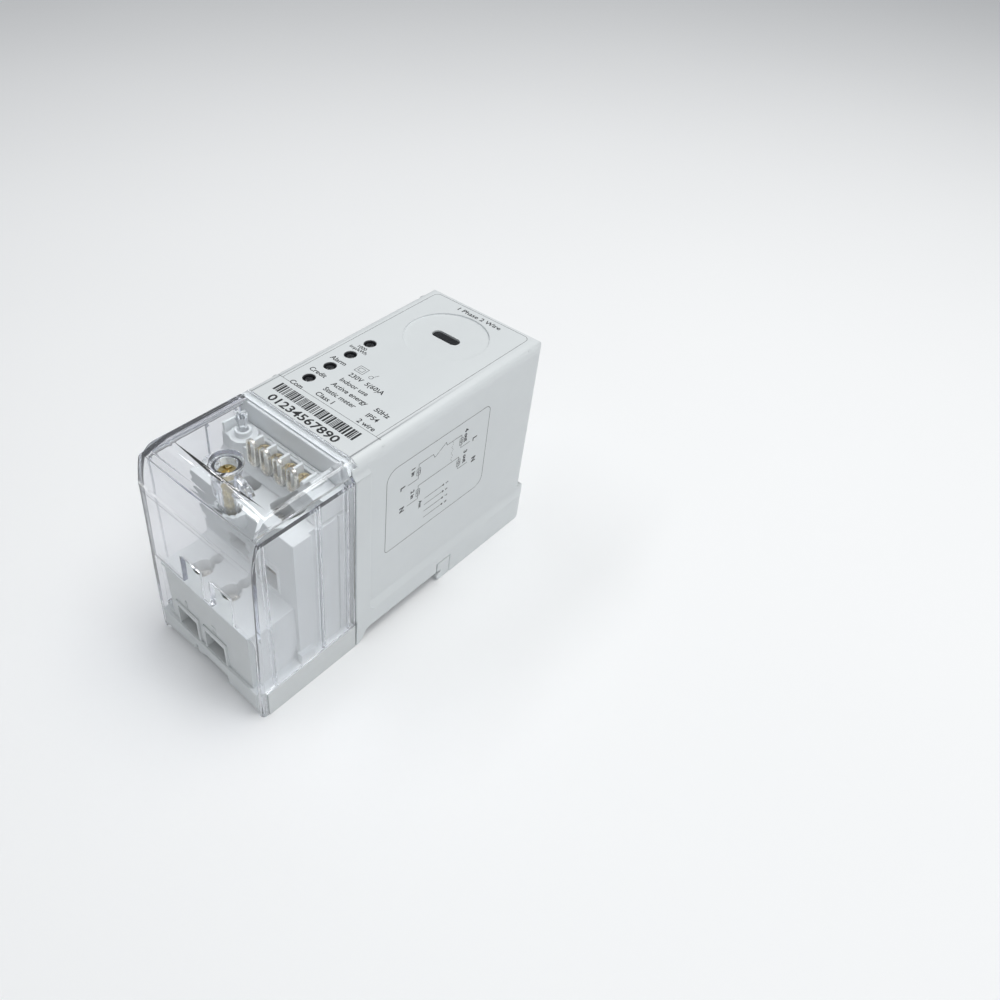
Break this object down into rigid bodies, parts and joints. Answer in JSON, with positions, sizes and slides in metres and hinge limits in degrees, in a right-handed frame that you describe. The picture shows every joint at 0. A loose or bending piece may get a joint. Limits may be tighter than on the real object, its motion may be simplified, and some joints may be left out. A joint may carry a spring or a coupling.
{
  "type": "prepaid electricity meter",
  "caption": "Single-phase prepayment meter for a 35 mm rail, with a clear screw-down terminal cover over stepped cage terminals.",
  "frame": {"origin": "middle of the whole object's outline, on the plane that the back rests on", "axes": "+Z out of the label face, away from the rail; +Y from the terminals towards the optical port; +X across the width"},
  "size_m": [0.054, 0.134, 0.0812],
  "materials": {
    "case_plastic": "moulded polycarbonate blend, very fine texture",
    "block_plastic": "moulded flame-retardant plastic, satin",
    "clear_plastic": "clear polycarbonate, polished",
    "brass": "turned, bright",
    "nickel": "nickel-plated steel",
    "steel": "zinc-plated steel",
    "copper": "bare copper bar",
    "black_plastic": "moulded black",
    "grey_plastic": "moulded grey, satin",
    "dark_lens": "smoked lens",
    "circuit_board": "green solder mask",
    "winding": "enamelled copper winding with tape",
    "blue_plastic": "moulded blue",
    "rubber": "soft seal"
  },
  "bodies": {
    "housing": {"case_shell": "case_plastic", "rear_plate": "case_plastic", "case_screw_1": "steel", "case_screw_2": "steel", "case_screw_3": "steel", "case_screw_4": "steel", "terminal_block": "block_plastic", "block_gasket": "rubber", "busbar_1": "copper", "busbar_2": "copper", "busbar_3": "copper", "busbar_4": "copper", "aux_block": "block_plastic", "cover_switch": "black_plastic", "led_lens_1": "dark_lens", "led_lens_2": "dark_lens", "led_lens_3": "dark_lens", "led_lens_4": "dark_lens", "optical_window": "dark_lens", "magnet_plate": "steel", "main_board": "circuit_board", "power_board": "circuit_board", "board_link": "black_plastic", "relay_case": "black_plastic", "relay_coil": "winding", "relay_fixed_contact": "copper", "current_transformer": "blue_plastic", "supply_transformer": "winding", "filter_capacitor": "blue_plastic", "bulk_capacitor": "black_plastic", "backup_battery": "steel", "modem_board": "circuit_board"},
    "cover": {"terminal_cover": "clear_plastic"},
    "seal_screw": {"seal_screw_head": "clear_plastic", "seal_screw": "brass"},
    "switch_plunger": {"cover_switch_plunger": "grey_plastic"},
    "din_clip": {"din_clip": "grey_plastic"},
    "main_screw_1": {"main_screw_1": "nickel"},
    "main_cage_1": {"main_cage_1": "nickel"},
    "main_screw_2": {"main_screw_2": "nickel"},
    "main_cage_2": {"main_cage_2": "nickel"},
    "main_screw_3": {"main_screw_3": "nickel"},
    "main_cage_3": {"main_cage_3": "nickel"},
    "main_screw_4": {"main_screw_4": "nickel"},
    "main_cage_4": {"main_cage_4": "nickel"},
    "aux_clamp_1": {"aux_clamp_1": "nickel"},
    "aux_screw_1": {"aux_screw_1": "brass"},
    "aux_clamp_2": {"aux_clamp_2": "nickel"},
    "aux_screw_2": {"aux_screw_2": "brass"},
    "aux_clamp_3": {"aux_clamp_3": "nickel"},
    "aux_screw_3": {"aux_screw_3": "brass"},
    "aux_clamp_4": {"aux_clamp_4": "nickel"},
    "aux_screw_4": {"aux_screw_4": "brass"},
    "relay_rotor": {"relay_rotor": "grey_plastic"},
    "relay_pusher": {"relay_pusher": "grey_plastic"},
    "relay_contact_arm": {"relay_contact_arm": "copper"}
  },
  "joints": [
    {"name": "cover_lift", "type": "slide", "parent": "housing", "child": "cover", "axis": [0, 0, 1], "range_m": [0, 0.075]},
    {"name": "seal_screw_turn", "type": "hinge", "parent": "cover", "child": "seal_screw", "pos_m": [-0.0012, -0.0497, 0.077], "axis": [0, 0, 1], "range_deg": [0, 1080]},
    {"name": "switch_plunger_press", "type": "slide", "parent": "housing", "child": "switch_plunger", "axis": [0, 0, -1], "range_m": [0, 0.002], "stiffness_N_per_m": 150},
    {"name": "din_clip_pull", "type": "slide", "parent": "housing", "child": "din_clip", "axis": [0, -1, 0], "range_m": [0, 0.0035], "stiffness_N_per_m": 900},
    {"name": "main_screw_1_turn", "type": "hinge", "parent": "housing", "child": "main_screw_1", "pos_m": [-0.0102, -0.057, 0.0293], "axis": [0, 0, -1], "range_deg": [0, 2250]},
    {"name": "main_cage_1_rise", "type": "slide", "parent": "housing", "child": "main_cage_1", "axis": [0, 0, 1], "range_m": [0, 0.005]},
    {"name": "main_screw_2_turn", "type": "hinge", "parent": "housing", "child": "main_screw_2", "pos_m": [0.0041, -0.057, 0.0293], "axis": [0, 0, -1], "range_deg": [0, 2250]},
    {"name": "main_cage_2_rise", "type": "slide", "parent": "housing", "child": "main_cage_2", "axis": [0, 0, 1], "range_m": [0, 0.005]},
    {"name": "main_screw_3_turn", "type": "hinge", "parent": "housing", "child": "main_screw_3", "pos_m": [-0.0044, -0.04, 0.0562], "axis": [0, 0, -1], "range_deg": [0, 2250]},
    {"name": "main_cage_3_rise", "type": "slide", "parent": "housing", "child": "main_cage_3", "axis": [0, 0, 1], "range_m": [0, 0.005]},
    {"name": "main_screw_4_turn", "type": "hinge", "parent": "housing", "child": "main_screw_4", "pos_m": [0.01, -0.04, 0.0562], "axis": [0, 0, -1], "range_deg": [0, 2250]},
    {"name": "main_cage_4_rise", "type": "slide", "parent": "housing", "child": "main_cage_4", "axis": [0, 0, 1], "range_m": [0, 0.005]},
    {"name": "aux_clamp_1_rise", "type": "slide", "parent": "housing", "child": "aux_clamp_1", "axis": [0, 0, 1], "range_m": [0, 0.001]},
    {"name": "aux_screw_1_turn", "type": "hinge", "parent": "aux_clamp_1", "child": "aux_screw_1", "pos_m": [-0.0061, -0.0325, 0.07], "axis": [0, 0, 1], "range_deg": [0, 720]},
    {"name": "aux_clamp_2_rise", "type": "slide", "parent": "housing", "child": "aux_clamp_2", "axis": [0, 0, 1], "range_m": [0, 0.001]},
    {"name": "aux_screw_2_turn", "type": "hinge", "parent": "aux_clamp_2", "child": "aux_screw_2", "pos_m": [-0.0001, -0.0325, 0.07], "axis": [0, 0, 1], "range_deg": [0, 720]},
    {"name": "aux_clamp_3_rise", "type": "slide", "parent": "housing", "child": "aux_clamp_3", "axis": [0, 0, 1], "range_m": [0, 0.001]},
    {"name": "aux_screw_3_turn", "type": "hinge", "parent": "aux_clamp_3", "child": "aux_screw_3", "pos_m": [0.0059, -0.0325, 0.07], "axis": [0, 0, 1], "range_deg": [0, 720]},
    {"name": "aux_clamp_4_rise", "type": "slide", "parent": "housing", "child": "aux_clamp_4", "axis": [0, 0, 1], "range_m": [0, 0.001]},
    {"name": "aux_screw_4_turn", "type": "hinge", "parent": "aux_clamp_4", "child": "aux_screw_4", "pos_m": [0.0119, -0.0325, 0.07], "axis": [0, 0, 1], "range_deg": [0, 720]},
    {"name": "relay_rotor_turn", "type": "hinge", "parent": "housing", "child": "relay_rotor", "pos_m": [-0.0034, 0.014, 0.021], "axis": [0, 0, 1], "range_deg": [0, 12]},
    {"name": "relay_pusher_slide", "type": "slide", "parent": "housing", "child": "relay_pusher", "axis": [1, 0, 0], "range_m": [0, 0.0014]},
    {"name": "relay_contact_turn", "type": "hinge", "parent": "housing", "child": "relay_contact_arm", "pos_m": [-0.0167, -0.0058, 0.022], "axis": [0, 0, -1], "range_deg": [0, 6]}
  ],
  "couplings": [
    {"joint": "main_screw_1_turn", "follows": "main_cage_1_rise", "rad_per_m": 7853.9},
    {"joint": "main_screw_2_turn", "follows": "main_cage_2_rise", "rad_per_m": 7853.9},
    {"joint": "main_screw_3_turn", "follows": "main_cage_3_rise", "rad_per_m": 7853.9},
    {"joint": "main_screw_4_turn", "follows": "main_cage_4_rise", "rad_per_m": 7853.9},
    {"joint": "aux_screw_1_turn", "follows": "aux_clamp_1_rise", "rad_per_m": 12566},
    {"joint": "aux_screw_2_turn", "follows": "aux_clamp_2_rise", "rad_per_m": 12566},
    {"joint": "aux_screw_3_turn", "follows": "aux_clamp_3_rise", "rad_per_m": 12566},
    {"joint": "aux_screw_4_turn", "follows": "aux_clamp_4_rise", "rad_per_m": 12566},
    {"joint": "relay_rotor_turn", "follows": "relay_pusher_slide", "rad_per_m": 149.59},
    {"joint": "relay_contact_turn", "follows": "relay_pusher_slide", "rad_per_m": 74.79}
  ]
}
